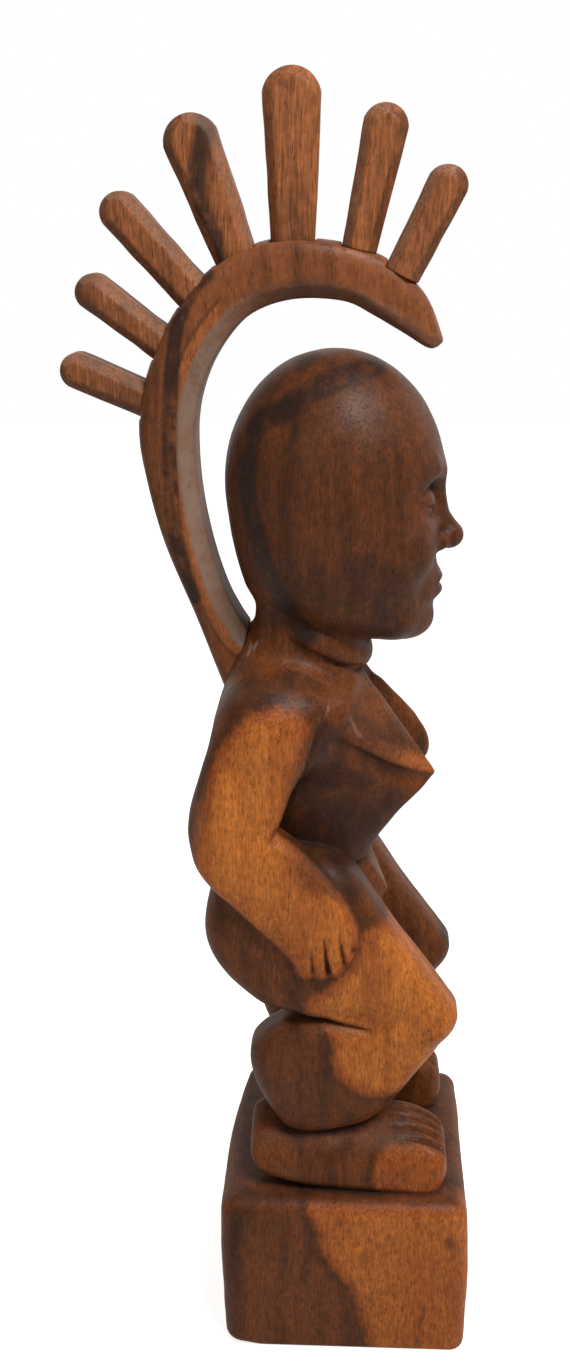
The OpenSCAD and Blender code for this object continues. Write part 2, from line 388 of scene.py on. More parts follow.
def trunk_shape():
    heights = [222, 236, 246, 256, 266, 274, 284, 300, 314, 326, 336]
    fronts = [9, 9.5, 13, 17, 19, 18, 13, 8, 4, 0, -5]
    backs = [-54, -52, -51.5, -52, -52.5, -53, -53.5, -53.5, -52, -48, -42]
    halves = [27, 24.5, 25.5, 27.5, 29.5, 30.5, 32, 34, 34, 29, 22]
    power = 2.4

    def fn(x, f, z):
        zz = np.clip(z[0, 0], heights[0], heights[-1])
        front, back, half = (np.interp(zz, heights, v)[None, None, :] for v in (fronts, backs, halves))
        mid = (front + back) / 2
        depth = (front - back) / 2
        a = np.abs(x / half) ** power
        b = np.abs((f - mid) / depth) ** power
        side = ((a + b) ** (1 / power) - 1) * np.minimum(half, depth) * 0.9
        return smooth_max(side, np.maximum(236 - z, z - 336), 2).astype(np.float32)

    return fn, (-40, -58, 228), (40, 22, 342)


def breast_shape():
    neck = (6, 6, 324)
    tip = (15.5, 40, 278.8)
    arm = (35, 1.5, 301)
    middle = (0, 16, 292)
    core = (18, -5, 282)
    planes = [(neck, tip, arm, core), (neck, tip, middle, core), (middle, tip, (2, 12, 246), core),
              ((-40, -22, 200), (40, -22, 200), (0, -22, 300), core)]
    upper = facets(planes, (-2, -25, 230), (42, 46, 332), 1.4)
    profile = [(-30, 292), (-16, 300), (-7, 312), (0, 322), (9, 329), (20, 318), (32, 298), (40.5, 279, 1),
               (36, 274.5), (25.5, 263), (17.5, 251), (13, 242), (10, 237, 1), (0, 236), (-30, 236)]
    loop = curve_points(profile)
    power = 2.2

    def fn(x, f, z):
        side = outline_distance(loop, f[0], z[0])[None]
        half = np.interp(z[0, 0], [236, 258, 276, 290, 305], [18.5, 20, 24, 29, 33.5])[None, None, :]
        front = ramp(z, 236, 279, 31, 63)
        outward = np.maximum(x - 7, 0) / half
        forward = np.maximum(f + 20, 0) / front
        bowl = (outward ** power + forward ** power) ** (1 / power)
        body = smooth_max(side, (bowl - 1) * 24, 2.0)
        return smooth_max(upper[0](x, f, z), body, 1.0)

    return fn, upper[1], upper[2]


def yoke_shape():
    outline = [(-46, 336), (-41, 341), (-30, 343.5), (-20, 340), (-10, 333), (0, 325.5), (6, 320), (5, 310),
               (-4, 298), (-15, 284), (-45, 278), (-54, 290), (-56, 304), (-52.5, 318)]
    return slab(outline, 0, lambda f, z: ramp(z, 292, 343, 47.5, 22), 15, 22)


def add_arm(s):
    outline = [(-44, 322), (-52, 314), (-57, 300), (-62.5, 284), (-67, 269), (-68, 258), (-64.3, 246.5),
               (-57.5, 236.5), (-48, 227), (-38, 216.5), (-29, 207.5), (-24.3, 201.5), (-21.8, 195.5),
               (-18, 192), (-14.2, 193), (-12.6, 192.6), (-9.8, 191.5), (-6.8, 193.3), (-5.3, 193.6),
               (-2.4, 193.3), (0.6, 197.5), (3.6, 202), (5.6, 208), (6.5, 214), (5.6, 220.5), (1.5, 228.5),
               (-7, 240.5), (-18, 254), (-29.2, 262.5, 1), (-24, 276), (-17.5, 292), (-10.5, 309),
               (-10, 317), (-18, 324), (-32, 327)]
    heights = [190, 206, 235, 262, 284, 300, 318, 330]
    middles = [46, 45.8, 44.2, 43, 40.5, 37.5, 33.0, 29]
    halves = [7.0, 8.3, 10.3, 11, 12, 12.5, 12.0, 11]
    arm = s.blank()
    fn, low, high = slab(outline, lambda f, z: np.interp(z, heights, middles),
                         lambda f, z: np.interp(z, heights, halves), 5, 6, 3.4, 22)
    bevel = beyond((47.5, -60, 285), (0.62, -0.78, 0.12))
    fold = beyond((53.5, -17, 292), (0.62, 0.72, -0.30))

    def cut(x, f, z):
        out = smooth_max(fn(x, f, z), -bevel(x, f, z), 3)
        return smooth_max(out, -np.where(z > 262, fold(x, f, z), FAR), 2)

    arm.add((cut, low, high), 3)
    arm.add(ellipsoid((34, -32, 303), (17.5, 21, 21.5), 12), 7)
    slits = [((-14.9, 209), (-14.2, 200), (-13.2, 189)), ((-9.3, 216), (-8.3, 206), (-6.6, 191)),
             ((-2.9, 219), (-1.6, 209), (1.0, 196)), ((3.0, 216), (3.4, 212), (3.7, 208))]
    for top, middle, bottom in slits:
        arm.carve(tube([(54.3, *top), (53.5, *middle), (51.5, *bottom)], [0.3, 0.8, 1.2], (3.4, 1, 1)), 1.1)
    arm.carve(tube([(55, -37, 252), (54.5, -33, 257.5), (50, -28.8, 263)], [0.5, 1.3, 2.2], (1.6, 1, 1)), 1.0)
    arm.carve(tube([(55, -36, 257.5), (54.5, -32, 259.5)], [0.5, 1.0], (1.6, 1, 1)), 1.0)
    s.join(arm, ramp(s.z, 298, 326, 1.6, 9.0)[None, None, :])
    armpit = [(-7.5, 318), (-9.8, 311), (-12.3, 303.6), (-15.2, 295), (-18.6, 286)]
    groove(s, [(58, *point) for point in armpit], 0, [0.3, 0.8, 1.1, 1.0, 0.4], 1.2)


def add_neck(s):
    column = [(-41, 366), (-39.5, 352), (-41, 340), (-46, 328), (-20, 316), (0, 316), (5, 326), (9, 340),
              (6, 366)]
    s.add(slab(column, 0, 24, 16, 18), 2.5)
    s.add(ellipsoid((0, -13.5, 340.5), (27.5, 28, 13.8), 33), 0.6)
    collar = [(-25, 341.5), (-19.2, 338.1), (-11.9, 334.3), (-6.1, 330.5), (0, 327.7), (6, 326.9)]
    groove(s, [(56, *point) for point in collar], 0, [0.3, 0.8, 1.0, 1.0, 0.9, 0.4])


# The head's lowest point and its height, which the plain face is laid out in shares of.
CHIN = 335.5
HEAD = 122.5


def jaw_outline():
    """Plain jaw in shares of the head's height, its underside rising from the chin to a rounded corner."""
    shares = [(0, 0.57), (-0.29, 0.42), (-0.29, 0.28), (-0.23, 0.15), (-0.10, 0.065), (0.05, 0.02),
              (0.17, 0), (0.25, 0.03), (0.28, 0.10), (0.27, 0.25), (0.28, 0.45)]
    return [(across * HEAD, CHIN + up * HEAD) for across, up in shares]


def add_head(s):
    head = s.blank()
    head.add(ellipsoid((0, -5.5, 403), (39.5, 46, 55)), 3)
    head.add(ellipsoid((0, -7, 380), (37.5, 41, 46)), 6)
    head.add(slab(jaw_outline(), 0, lambda f, z: ramp(z, 334, 385, 26, 35) - ramp(f, 0, 36, 0, 5), 12, 22), 6)
    add_face(head)
    s.join(head, 0.8)


def face_groove(s, level, path, radii, k=0.8):
    """Groove across the face through points given as (x, height above level)."""
    before_face = 60
    groove(s, [(x, before_face, level + up) for x, up in path], 1, radii, k)


def add_face(s):
    """A plain face, with its eye line at half of the head's height."""
    eye = CHIN + 0.5 * HEAD
    nose = CHIN + 0.335 * HEAD
    mouth = CHIN + 0.205 * HEAD
    s.add(ellipsoid((0, 17, eye - 14), (27, 19, 34)), 6)
    s.add(tube([(4, 34.5, eye + 11), (15, 32, eye + 14.5), (26, 22.5, eye + 11)], [5, 5, 4]), 5)
    s.carve(ellipsoid((15, 39.5, eye + 1.5), (12, 8, 8.5)), 5)
    s.add(ellipsoid((19.5, 22, nose + 1), (12, 12, 12)), 8)
    s.add(tube([(0, 34.5, eye + 7), (0, 39, eye - 8), (0, 42.5, nose + 5)], [4.2, 4.4, 5.6], (1.1, 1, 1)), 4)
    s.add(ellipsoid((0, 42.5, nose + 3.5), (6, 6.2, 5)), 3)
    s.add(ellipsoid((6.3, 37.5, nose + 2.5), (4.2, 5.2, 4.2)), 2)
    s.carve(ellipsoid((3.6, 40.5, nose - 2.2), (2.0, 3.0, 2.0)), 1.5)
    s.add(ellipsoid((14.8, 29.5, eye + 0.5), (9.8, 6.6, 6.6)), 1.5)
    lids = [(5.6, -0.3), (10, -1.4), (15, -2.0), (20, -1.2), (24, 0.2)]
    face_groove(s, eye, lids, [0.5, 0.9, 1.0, 0.9, 0.5])
    lid_fold = [(6, 4.2), (10.5, 6.6), (15.5, 7.4), (21, 6.2), (25, 3.4)]
    face_groove(s, eye, lid_fold, [0.4, 0.8, 1.0, 0.8, 0.4], 1.2)
    s.add(ellipsoid((0, 30, mouth), (15, 9.5, 10)), 6)
    upper_lip = [(0, 37.6, mouth + 2.6), (6, 36.4, mouth + 2.6), (12.5, 31.5, mouth + 0.4)]
    s.add(tube(upper_lip, [2.9, 2.6, 1.5]), 1.5)
    lower_lip = [(0, 37.2, mouth - 3.4), (5.5, 36, mouth - 3.0), (11, 31.6, mouth - 1.2)]
    s.add(tube(lower_lip, [3.4, 3.0, 1.6]), 1.5)
    face_groove(s, mouth, [(0, -0.5), (3, -0.3), (6.5, -0.5), (10, -0.4), (13, 0)], [1.1, 1.0, 1.0, 0.9, 0.5])
    s.carve(tube([(0, 40.5, mouth + 9), (0, 40.2, mouth + 6)], [1.4, 1.6]), 2.5)
    s.add(ellipsoid((0, 27.5, CHIN + 9.5), (12.5, 9.5, 8.5)), 5)


# The crest's foot lies on a flat seat in the upper back, from its lower edge to its upper edge as (f, z).
SEAT_LOW = np.array([-50.5, 306.0])
SEAT_HIGH = np.array([-42.5, 340.5])
SEAT_LENGTH = float(np.linalg.norm(SEAT_HIGH - SEAT_LOW))
SEAT_ALONG = (SEAT_HIGH - SEAT_LOW) / SEAT_LENGTH
CREST_HALF = 13.5


def seat_shape():
    middle = (SEAT_LOW + SEAT_HIGH) / 2

    def fn(x, f, z):
        t = (f - middle[0]) * SEAT_ALONG[0] + (z - middle[1]) * SEAT_ALONG[1]
        out = -(f - middle[0]) * SEAT_ALONG[1] + (z - middle[1]) * SEAT_ALONG[0]
        ends = np.abs(t) - SEAT_LENGTH / 2
        sides = np.abs(x) - CREST_HALF - 0.2
        return np.maximum(np.maximum(ends, sides), -out).astype(np.float32)

    return fn, (-16, -75, 300), (16, -40, 345)


def round_far_breast(s):
    """The left breast is fuller along its ridge than the right one, and its tip is blunt."""
    s.add(tube([(11, 12, 308.5), (14, 26.3, 292.8), (15.5, 33, 281)], [4.0, 4.4, 4.0]), 5)
    cut, x, f, z = s.region((6, 20, 262), (40, 46, 325))
    tip = beyond((15, 37.4, 280), (0.05, 1.0, 0.1))(x, f, z)
    s.d[cut] = smooth_max(s.d[cut], -tip - 6 * ramp(x, 7, 11, 1, 0), 3)


def slant_plinth_back(s):
    """The plinth's back runs slightly forward towards the left side."""
    cut, x, f, z = s.region((-2, -60, -3), (60, -40, PLINTH_TOP + 2))
    back = beyond((10, -57.4, 0), (0.15, -0.99, 0))(x, f, z)
    s.d[cut] = smooth_max(s.d[cut], -back, 3)


def sculpt_figure():
    """Sculpts one half, mirrors it and works the surface unevenly."""
    s = Sculpt((-VOXEL, -72, -2.2), (60, 60, 462), VOXEL)
    # The plane of symmetry lies midway between two layers of cells, with two layers past it for the blends.
    s.x = (VOXEL * (np.arange(len(s.x)) - 1.5)).astype(np.float32)
    add_foot(s)
    add_seat(s)
    add_leg(s)
    upper = s.blank()
    upper.add(trunk_shape(), 3)
    upper.add(breast_shape(), 1.5)
    upper.carve(tube([(41, -7, 303), (37, 2, 294.5), (31, 15, 285.3), (24.5, 29, 278), (19, 38, 275)],
                     [3.0, 4.4, 4.4, 3.2, 1.6]), 3.0)
    upper.add(yoke_shape(), 4)
    s.join(upper, 1.5)
    add_arm(s)
    add_neck(s)
    add_head(s)
    s.add(plinth_shape(), 2.2)
    s.carve(tube([(0, -58.5, 236), (0, -58.5, 262), (0, -59.5, 300)], [3.0, 4.0, 3.0]), 6)
    s.carve(seat_shape(), 0.4)
    half = s.d[2:]
    s.d = np.concatenate([half[::-1], half], axis=0)
    s.x = (VOXEL * (np.arange(len(s.d)) - len(half) + 0.5)).astype(np.float32)
    round_far_breast(s)
    slant_plinth_back(s)
    roughen(s, 0.42, 22.0)
    roughen(s, 0.17, 8.0)
    return s


# ---- the crest and its rays

# The crest's edges as (f, z), from its foot to its tip.
CREST_OUTER = [(-50.5, 306), (-56, 321), (-66, 349), (-77, 378), (-83.5, 404), (-86, 428), (-80.5, 452),
               (-68.5, 474.5), (-50, 493), (-28, 500.5), (-3, 499), (17, 491.5), (31, 478), (37.5, 464),
               (38.5, 460)]
CREST_INNER = [(-42.5, 340.5), (-46.5, 347), (-52, 359), (-58, 379), (-62, 403), (-62.5, 428), (-58, 446.5),
               (-49.5, 461.5), (-38, 472.5), (-22, 477.5), (-2, 476.5), (10, 471), (21, 464.5), (31.5, 458),
               (36, 458)]

# Each ray: middle of its root, middle of its tip, root width and tip width.
RAYS = [((-83, 437.5), (-117.5, 452.5), 14, 14.5), ((-75.5, 460), (-108.5, 485), 13.5, 14.5),
        ((-62.5, 480), (-96, 517), 15, 16), ((-44.8, 493.3), (-65, 546.5), 17, 21.5),
        ((-22, 499), (-22, 563.5), 17.5, 22.5), ((4.5, 497.5), (16, 549.5), 14, 17.5),
        ((22, 487.5), (42, 526.5), 14.5, 16)]
RAY_HALF = 9.5
RAY_BEVEL = 4.0
# How deep a ray's root sits in its pocket in the crest, and the gap round it.
RAY_SUNK = 1.7
ROOT_GAP = 0.15


def crest_shape():
    outer = curve_points(CREST_OUTER, False)
    inner = curve_points(CREST_INNER, False)
    loop = np.concatenate([outer, inner[::-1]])

    def fn(x, f, z):
        a, b = f[0], z[0]
        edge = outline_distance(loop, a, b)[None]
        from_outer = curve_distance(outer, a, b)[None]
        from_inner = curve_distance(inner, a, b)[None]
        along = np.where(z > 450, ramp(f, -20, 38, 0, 1), 0)
        half = CREST_HALF - 4.6 * along
        side = np.abs(x)
        rim = (side - (half - 3.2) - from_outer * (1.0 - 0.25 * along)) * 0.72
        bevel_width = 7.5 - 4.0 * along
        bevel = (side - (half - 4.6 + 2.6 * along) - from_inner * 4.6 / bevel_width) * 0.84
        out = smooth_max(side - half, edge, 1.2)
        out = smooth_max(out, rim, 3.0)
        return smooth_max(out, bevel, 1.2).astype(np.float32)

    return fn, (-CREST_HALF, -90, 304), (CREST_HALF, 42, 503)


def ray_profile(length, root_width, tip_width):
    """Closed outline of a ray as (across, along): straight sides and a slightly flattened round tip."""
    r = tip_width / 2
    tip_rise = r * 0.95
    below_root = -12
    side = [(-root_width / 2, below_root, 1), (-root_width / 2, 0)]
    side += [(-root_width / 2 - (r - root_width / 2) * t, (length - r) * t) for t in (0.4, 0.75)]
    turns = np.radians(range(0, 91, 15))
    tip = [(-r * math.cos(a), length - tip_rise + tip_rise * math.sin(a)) for a in turns]
    left = side + tip
    return curve_points(left + [(-p[0], *p[1:]) for p in reversed(left[:-1])], True, 4)


def ray_shape(number):
    """Distance function over x, across and along, in the ray's own frame."""
    root, tip, root_width, tip_width = RAYS[number]
    length = math.dist(root, tip)
    loop = ray_profile(length, root_width, tip_width)

    slope = 0.7071

    def fn(x, across, along):
        d2 = outline_distance(loop, across[0], along[0])[None]
        bevel = (np.abs(x) - (RAY_HALF - RAY_BEVEL) + d2) * slope
        out = smooth_max(d2, np.abs(x) - RAY_HALF, 1.0)
        return np.maximum(smooth_max(out, bevel, 0.6), -RAY_SUNK - along).astype(np.float32)

    return fn, length


def ray_axes(number):
    """Root point, and the unit vectors along and across the ray, in (f, z)."""
    root, tip = np.array(RAYS[number][0]), np.array(RAYS[number][1])
    along = (tip - root) / np.linalg.norm(tip - root)
    return root, along, np.array([along[1], -along[0]])


def sculpt_crest():
    s = Sculpt((-CREST_HALF - 2, -92, 301), (CREST_HALF + 2, 44, 506), CREST_VOXEL)
    s.add(crest_shape(), 0.5)
    roughen(s, 0.25, 20.0)
    x, f, z = s.axes()
    for number in range(len(RAYS)):
        root, along, across = ray_axes(number)
        width = RAYS[number][2] / 2 + ROOT_GAP
        v = (f - root[0]) * along[0] + (z - root[1]) * along[1]
        u = (f - root[0]) * across[0] + (z - root[1]) * across[1]
        pocket = np.maximum(np.maximum(np.abs(u) - width, -RAY_SUNK - v), np.abs(x) - RAY_HALF - ROOT_GAP)
        s.d = smooth_max(s.d, -np.where(v > 20, FAR, pocket), 0.5).astype(np.float32)
    foot_top = 342
    foot_depth = 6
    at_foot = (z < foot_top) & (f < SEAT_HIGH[0] + foot_depth)
    s.d = np.where(at_foot, smooth_max(s.d, seat_front(s), 0.3), s.d)
    return s


def seat_front(s):
    """Distance before the seat's plane, positive inside the figure's back."""
    _, f, z = s.axes()
    before = (f - SEAT_LOW[0]) * SEAT_ALONG[1] - (z - SEAT_LOW[1]) * SEAT_ALONG[0]
    return np.broadcast_to(before, s.d.shape).astype(np.float32)


def sculpt_ray(number):
    fn, length = ray_shape(number)
    s = Sculpt((-12, -14, -6), (12, 14, length + 3), RAY_VOXEL)
    s.d = fn(*s.axes())
    s.d = s.d + (0.20 * unevenness(s.d.shape, 8.0 / s.voxel)).astype(np.float32)
    return s


# ---- meshes

def sample(s, values, points):
    """Values of a block at points given as (x, f, z), between its cells in a straight line."""
    at = (points - np.array([s.x[0], s.f[0], s.z[0]])) / s.voxel
    at = np.clip(at, 0, np.array(values.shape) - 1.001)
    i = at.astype(int)
    t = at - i
    out = 0
    for corner in np.ndindex(2, 2, 2):
        weight = np.prod(np.where(corner, t, 1 - t), axis=1)
        out = out + weight * values[tuple((i + corner).T)]
    return out


def box_mean(values, n, axis):
    pad = [(0, 0)] * 3
    pad[axis] = (n + 1, n)
    total = np.cumsum(np.pad(values, pad, mode="edge"), axis=axis, dtype=np.float64)
    size = values.shape[axis]
    high = np.take(total, np.arange(size) + 2 * n + 1, axis)
    low = np.take(total, np.arange(size), axis)
    return ((high - low) / (2 * n + 1)).astype(np.float32)


def hollowness(s, points, radius):
    """0 on a flat face, towards 1 deep in a groove and towards -1 on a sharp edge."""
    solid = np.clip(0.5 - s.d / s.voxel, 0, 1)
    n = max(1, round(radius / s.voxel / 1.7))
    for axis in (0, 1, 2, 0, 1, 2):
        solid = box_mean(solid, n, axis)
    return np.clip((sample(s, solid, points) - 0.5) * 2.6, -1, 1)


def mesh_points(s):
    """Points on the zero surface as (x, f, z) in millimetres, with their faces and outward normals."""
    grid = openvdb.FloatGrid(FAR)
    grid.copyFromArray(np.ascontiguousarray(s.d))
    cells, quads = grid.convertToQuads(0.0)
    points = np.array([s.x[0], s.f[0], s.z[0]]) + cells.astype(np.float64) * s.voxel
    normals = np.zeros_like(points)
    for axis in range(3):
        step = np.zeros(3)
        step[axis] = s.voxel * 0.8
        normals[:, axis] = sample(s, s.d, points + step) - sample(s, s.d, points - step)
    normals /= np.linalg.norm(normals, axis=1, keepdims=True) + 1e-9
    return points, quads[:, ::-1], normals


def new_object(name, data):
    obj = bpy.data.objects.new(name, data)
    bpy.context.scene.collection.objects.link(obj)
    return obj


def carved_piece(name, s, place=None):
    """Mesh object in the row's frame in metres; place turns local (x, f, z) points into the figure's."""
    points, quads, normals = mesh_points(s)
    hollow = hollowness(s, points, 4.0)
    wide_hollow = hollowness(s, points, 11.0)
    if place is not None:
        points = place(points)
        normals = place(normals, True)
    to_row = np.array([1, -1, 1])
    mesh = bpy.data.meshes.new(name)
    mesh.from_pydata((points * to_row * MM).tolist(), [], quads.tolist())
    mesh.polygons.foreach_set("use_smooth", np.ones(len(mesh.polygons), bool))
    mesh.normals_split_custom_set_from_vertices((normals * to_row).tolist())
    obj = new_object(name, mesh)
    set_attribute(mesh, "hollow", hollow)
    set_attribute(mesh, "wide_hollow", wide_hollow)
    return obj, points


def set_attribute(mesh, name, values):
    layer = mesh.attributes.new(name, "FLOAT", "POINT")
    layer.data.foreach_set("value", np.asarray(values, np.float32))


def finish_piece(obj, slot, *nodes):
    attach(obj, "root")
    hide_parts(*nodes)


# ---- where the log's colours lie, and where shade and sheen are painted

def patch(outline, f, z):
    """How far inside a smooth side-view outline each point lies."""
    return -outline_distance(curve_points(outline), f, z)


def pale_wood(points):
    """Depth in millimetres into the pale sapwood, negative in the dark heartwood."""
    x, f, z = points.T
    near = -x
    arm = patch([(-39, 315.5), (-31, 318), (-22, 321), (-16, 321), (-6, 312), (2, 296), (0, 278), (-8, 262),
                 (3, 246), (9, 229), (10.5, 215), (7, 200), (-2, 187), (-20, 184), (-36, 198), (-52, 218),
                 (-66, 240), (-72, 256), (-66, 264), (-61, 274), (-57, 287), (-51.5, 299),
                 (-44.5, 310)], f, z)
    arm_inner = (near - ramp(z, 225, 245, 48.6, 47)) * 1.2
    arm = np.minimum(np.minimum(arm, arm_inner), 2.0 + 0.22 * (z - 190))
    leg = patch([(9, 216), (17.5, 217.5), (24, 214), (36, 200), (46, 186), (56, 172), (50, 150), (36, 134),
                 (18.5, 134), (8, 135.8), (-1, 142.6), (-5.4, 152.4), (-4.6, 162), (-11, 170), (-17, 179),
                 (-9, 187), (0, 196), (6, 206)], f, z)
    leg = np.minimum(leg, (near - 25) * 0.6)
    toe = patch([(15.5, 98), (20.6, 104.3), (27.5, 109.5), (37.7, 111.5), (50, 108), (52, 90), (48, 82),
                 (17, 82)], f, z)
    toe = np.minimum(np.minimum(toe, (near - 42.5) * 1.4), 0.9)
    block = patch([(-9, 86), (-12, 67), (-4, 47), (5, 33), (12, 4), (13, -6), (70, -8), (70, 86)], f, z)
    block_inner = (near - 22 - 0.25 * z) * 0.5
    block = np.minimum(np.minimum(np.minimum(block, block_inner), (79.5 - z) * 0.9), 3.6)
    # An amber line along the breast's lower ridge, given as sapwood depth: edge wear and a painted highlight.
    ridge_line = curve_points([(3, 301), (9, 295.5), (18, 290), (30, 284), (38.5, 280.5)], False)
    below_ridge = z < 283.5 - 0.45 * (f - 30)
    ridge = (1.9 - curve_distance(ridge_line, f, z) * np.where(below_ridge, 1.8, 0.8)) * 1.4
    ridge = np.where(near > 14, np.minimum(ridge, ramp(f, 10, 36, -2.2, 1.2)), -20)
    far_arm = patch([(-40, 300), (-25, 306), (-14, 296), (-20, 270), (-4, 246), (2, 226), (-10, 210),
                     (-30, 220), (-54, 240), (-60, 262), (-50, 285)], f, z)
    far_arm = np.minimum(far_arm, (x - 51.5) * 1.2)
    return np.maximum.reduce([arm, leg, toe, block, ridge, far_arm])


def streak(curve, width, f, z):
    """1 along a side-view curve, fading to 0 over width, which is one number or one for each point."""
    away = curve_distance(curve_points(curve, False), f, z)
    return ramp(away, width * 0.25, width, 1, 0)


# Dark streaking in the wood, and painted shade on the trunk's side, in front of the arm, in the thigh's
# crease, at the hip and on the plinth's top.
def figure_streaks_and_shade(points):
    x, f, z = points.T
    crown = streak([(12, 452), (3, 449.5), (-10.5, 445), (-22.5, 437.6), (-34, 432), (-38.8, 425),
                    (-40.2, 414), (-39.8, 402), (-37, 390), (-32, 373), (-25, 355), (-16, 344)], 8.0, f, z)
    second = 0.45 * streak([(-8, 418), (-4, 428), (5, 438), (16, 442), (28, 441)], 8, f, z)
    back = 0.5 * ramp(np.abs(x), 0, 9, 1, 0) * (f < -20) * (z < 330)
    outer = np.abs(x) > 30
    shoulder = 0.55 * outer * streak([(-50, 318), (-42, 326), (-33, 322), (-22, 328), (-12, 326)], 7, f, z)
    # Painted shade on the trunk's side, in the recess behind the arm and under the breast, down to the hip's
    # top.
    side = patch([(-22, 300), (-6, 312), (4, 298), (22, 286), (24, 262), (14, 240), (8, 230), (-4, 232),
                  (-24, 246)], f, z)
    side = 0.68 * ramp(side, -3, 6, 0, 1) * (x < 0)
    cheek = patch([(-8, 350), (-10, 372), (4, 384), (26, 372), (32, 352), (24, 338), (4, 338)], f, z)
    cheek = 0.62 * ramp(cheek, -6, 6, 0, 1)
    on_side = x < -50
    # Painted shade on the trunk just in front of the arm.
    pit_shade = 0.85 * streak([(-15, 300), (-21, 284), (-28, 268), (-20, 256)], 9.0, f, z) * (np.abs(x) < 37)
    head = 0.42 * (z > 345)
    calf = 0.26 * ramp(z, 168, 160, 0, 1) * ramp(z, 100, 108, 0, 1) * (x < 0) * ramp(f, -14, -3, 1, 0)
    # Painted shadow under the thigh's overhang, along its crease with the calf.
    crease = 0.6 * outer * streak([(-40, 178), (-26, 174), (-12, 171), (3, 166)], 4.0, f, z)
    # Painted shade where the trunk meets the hip's top.
    waist_shade = 0.8 * streak([(-27, 250), (-10, 244), (4, 237.5)], 4.0, f, z) * (np.abs(x) < 36)
    # Painted shade over the plinth's top face.
    plinth_top_shade = 0.45 * ramp(z, 78.5, 80.5, 0, 1) * (z < 84)
    knot = 0.75 * streak([(47.5, 64), (48.5, 61.5)], 2.9, f, z) * on_side
    upper_crack = streak([(49, 60), (49.6, 54)], 1.2, f, z)
    lower_crack = streak([(37.3, 27), (33.9, 3.5)], 1.3, f, z)
    cracks = 0.5 * np.maximum(upper_crack, lower_crack) * on_side
    far_knee = 0.8 * streak([(49, 178), (48, 168), (43, 156)], 6.0, f, z) * (x > 24)
    crown = np.where(z > 335, np.maximum(crown, second), 0)
    return np.maximum.reduce([crown, back, shoulder, side, cheek, knot, cracks, far_knee, head, calf, crease,
                              waist_shade, plinth_top_shade, pit_shade])


def pale_specks(points):
    """Old glue at the crest's foot, a rubbed place on the chest,
    painted sheen on the upper chest and painted light on the belly's facet.
    """
    x, f, z = points.T
    glue = streak([(-41.8, 333), (-40.6, 336.5)], 0.9, f, z) + streak([(-39.5, 335), (-37.9, 338)], 0.7, f, z)
    rubbed = 0.35 * streak([(1.5, 309), (4, 303), (6, 300.5)], 1.0, f, z) * (x < -26)
    # Painted sheen on the upper chest facet.
    chest = 0.24 * streak([(12, 320), (20, 309), (28, 298)], 6.0, f, z) * (x < -1) * (x > -16)
    # Painted light on the belly's facet.
    belly = 0.70 * ramp(f, 8, 11, 0, 1) * ramp(np.abs(x) - 0.27 * (z - 213), -1.0, 0.5, 1, 0) * (z < 236)
    return np.maximum.reduce([np.where((x < -12) & (z > 325), glue, 0), rubbed, chest, belly])


def crest_streaks(points):
    _, f, z = points.T
    dark = streak([(-55, 487), (-60, 483), (-66, 473), (-69, 463), (-70.5, 452), (-71.5, 441), (-72.5, 428),
                   (-73, 410), (-72.5, 392), (-70, 374), (-65, 356)], ramp(z, 480, 430, 3.6, 4.6), f, z)
    return np.minimum(1.7 * dark, 1)


def ray_streaks(points):
    _, f, z = points.T
    return streak([(-53.5, 552), (-55.5, 540), (-58.5, 524), (-57.5, 513), (-52, 502), (-50, 494)],
                  ramp(z, 500, 524, 4.2, 6.8), f, z)


# ---- materials

class Graph:
    """Short calls for the nodes of one material or world."""

    def __init__(self, owner, shader="Principled BSDF"):
        owner.use_nodes = True
        self.owner = owner
        self.tree = owner.node_tree
        self.shader = self.tree.nodes[shader]

    def node(self, kind, values, **settings):
        made = self.tree.nodes.new(kind)
        for key, value in settings.items():
            setattr(made, key, value)
        for key, value in values.items():
            self.put(made.inputs[key], value)
        return made

    def put(self, socket, value):
        if isinstance(value, bpy.types.NodeSocket):
            self.tree.links.new(value, socket)
        else:
            socket.default_value = value

    def math(self, operation, a, b, clamp=False):
        return self.node("ShaderNodeMath", {0: a, 1: b}, operation=operation, use_clamp=clamp).outputs[0]

    def times(self, a, b):
        return self.math("MULTIPLY", a, b)

    def plus(self, a, b):
        return self.math("ADD", a, b)

    def mix(self, share, a, b, blend="MIX"):
        made = self.node("ShaderNodeMix", {0: share, 6: a, 7: b}, data_type="RGBA", blend_type=blend)
        return made.outputs[2]

    def shade(self, colour, factor):
        """The colour times a number."""
        grey = self.node("ShaderNodeCombineColor", {0: factor, 1: factor, 2: factor}).outputs[0]
        return self.mix(1.0, colour, grey, "MULTIPLY")

    def span(self, value, low, high, start=0.0, end=1.0):
        return self.node("ShaderNodeMapRange", {0: value, 1: low, 2: high, 3: start, 4: end},
                         interpolation_type="SMOOTHSTEP").outputs[0]

    def stretch(self, vector, size):
        return self.node("ShaderNodeVectorMath", {0: vector, 1: size}, operation="MULTIPLY").outputs[0]

    def noise(self, vector, scale, detail, roughness=0.5, output="Fac"):
        made = self.node("ShaderNodeTexNoise", {"Vector": vector, "Scale": scale, "Detail": detail,
                                                "Roughness": roughness})
        return made.outputs[output]

    def attribute(self, name):
        return self.node("ShaderNodeAttribute", {}, attribute_name=name).outputs["Fac"]

    def steps(self, value, stops):
        made = self.node("ShaderNodeValToRGB", {0: value})
        elements = made.color_ramp.elements
        while len(elements) < len(stops):
            elements.new(0.5)
        for element, (at, colour) in zip(elements, stops):
            element.position = at
            element.color = (*colour, 1)
        return made.outputs[0]

    def feed(self, **sockets):
        for name, value in sockets.items():
            self.put(self.shader.inputs[name.replace("_", " ").title()], value)


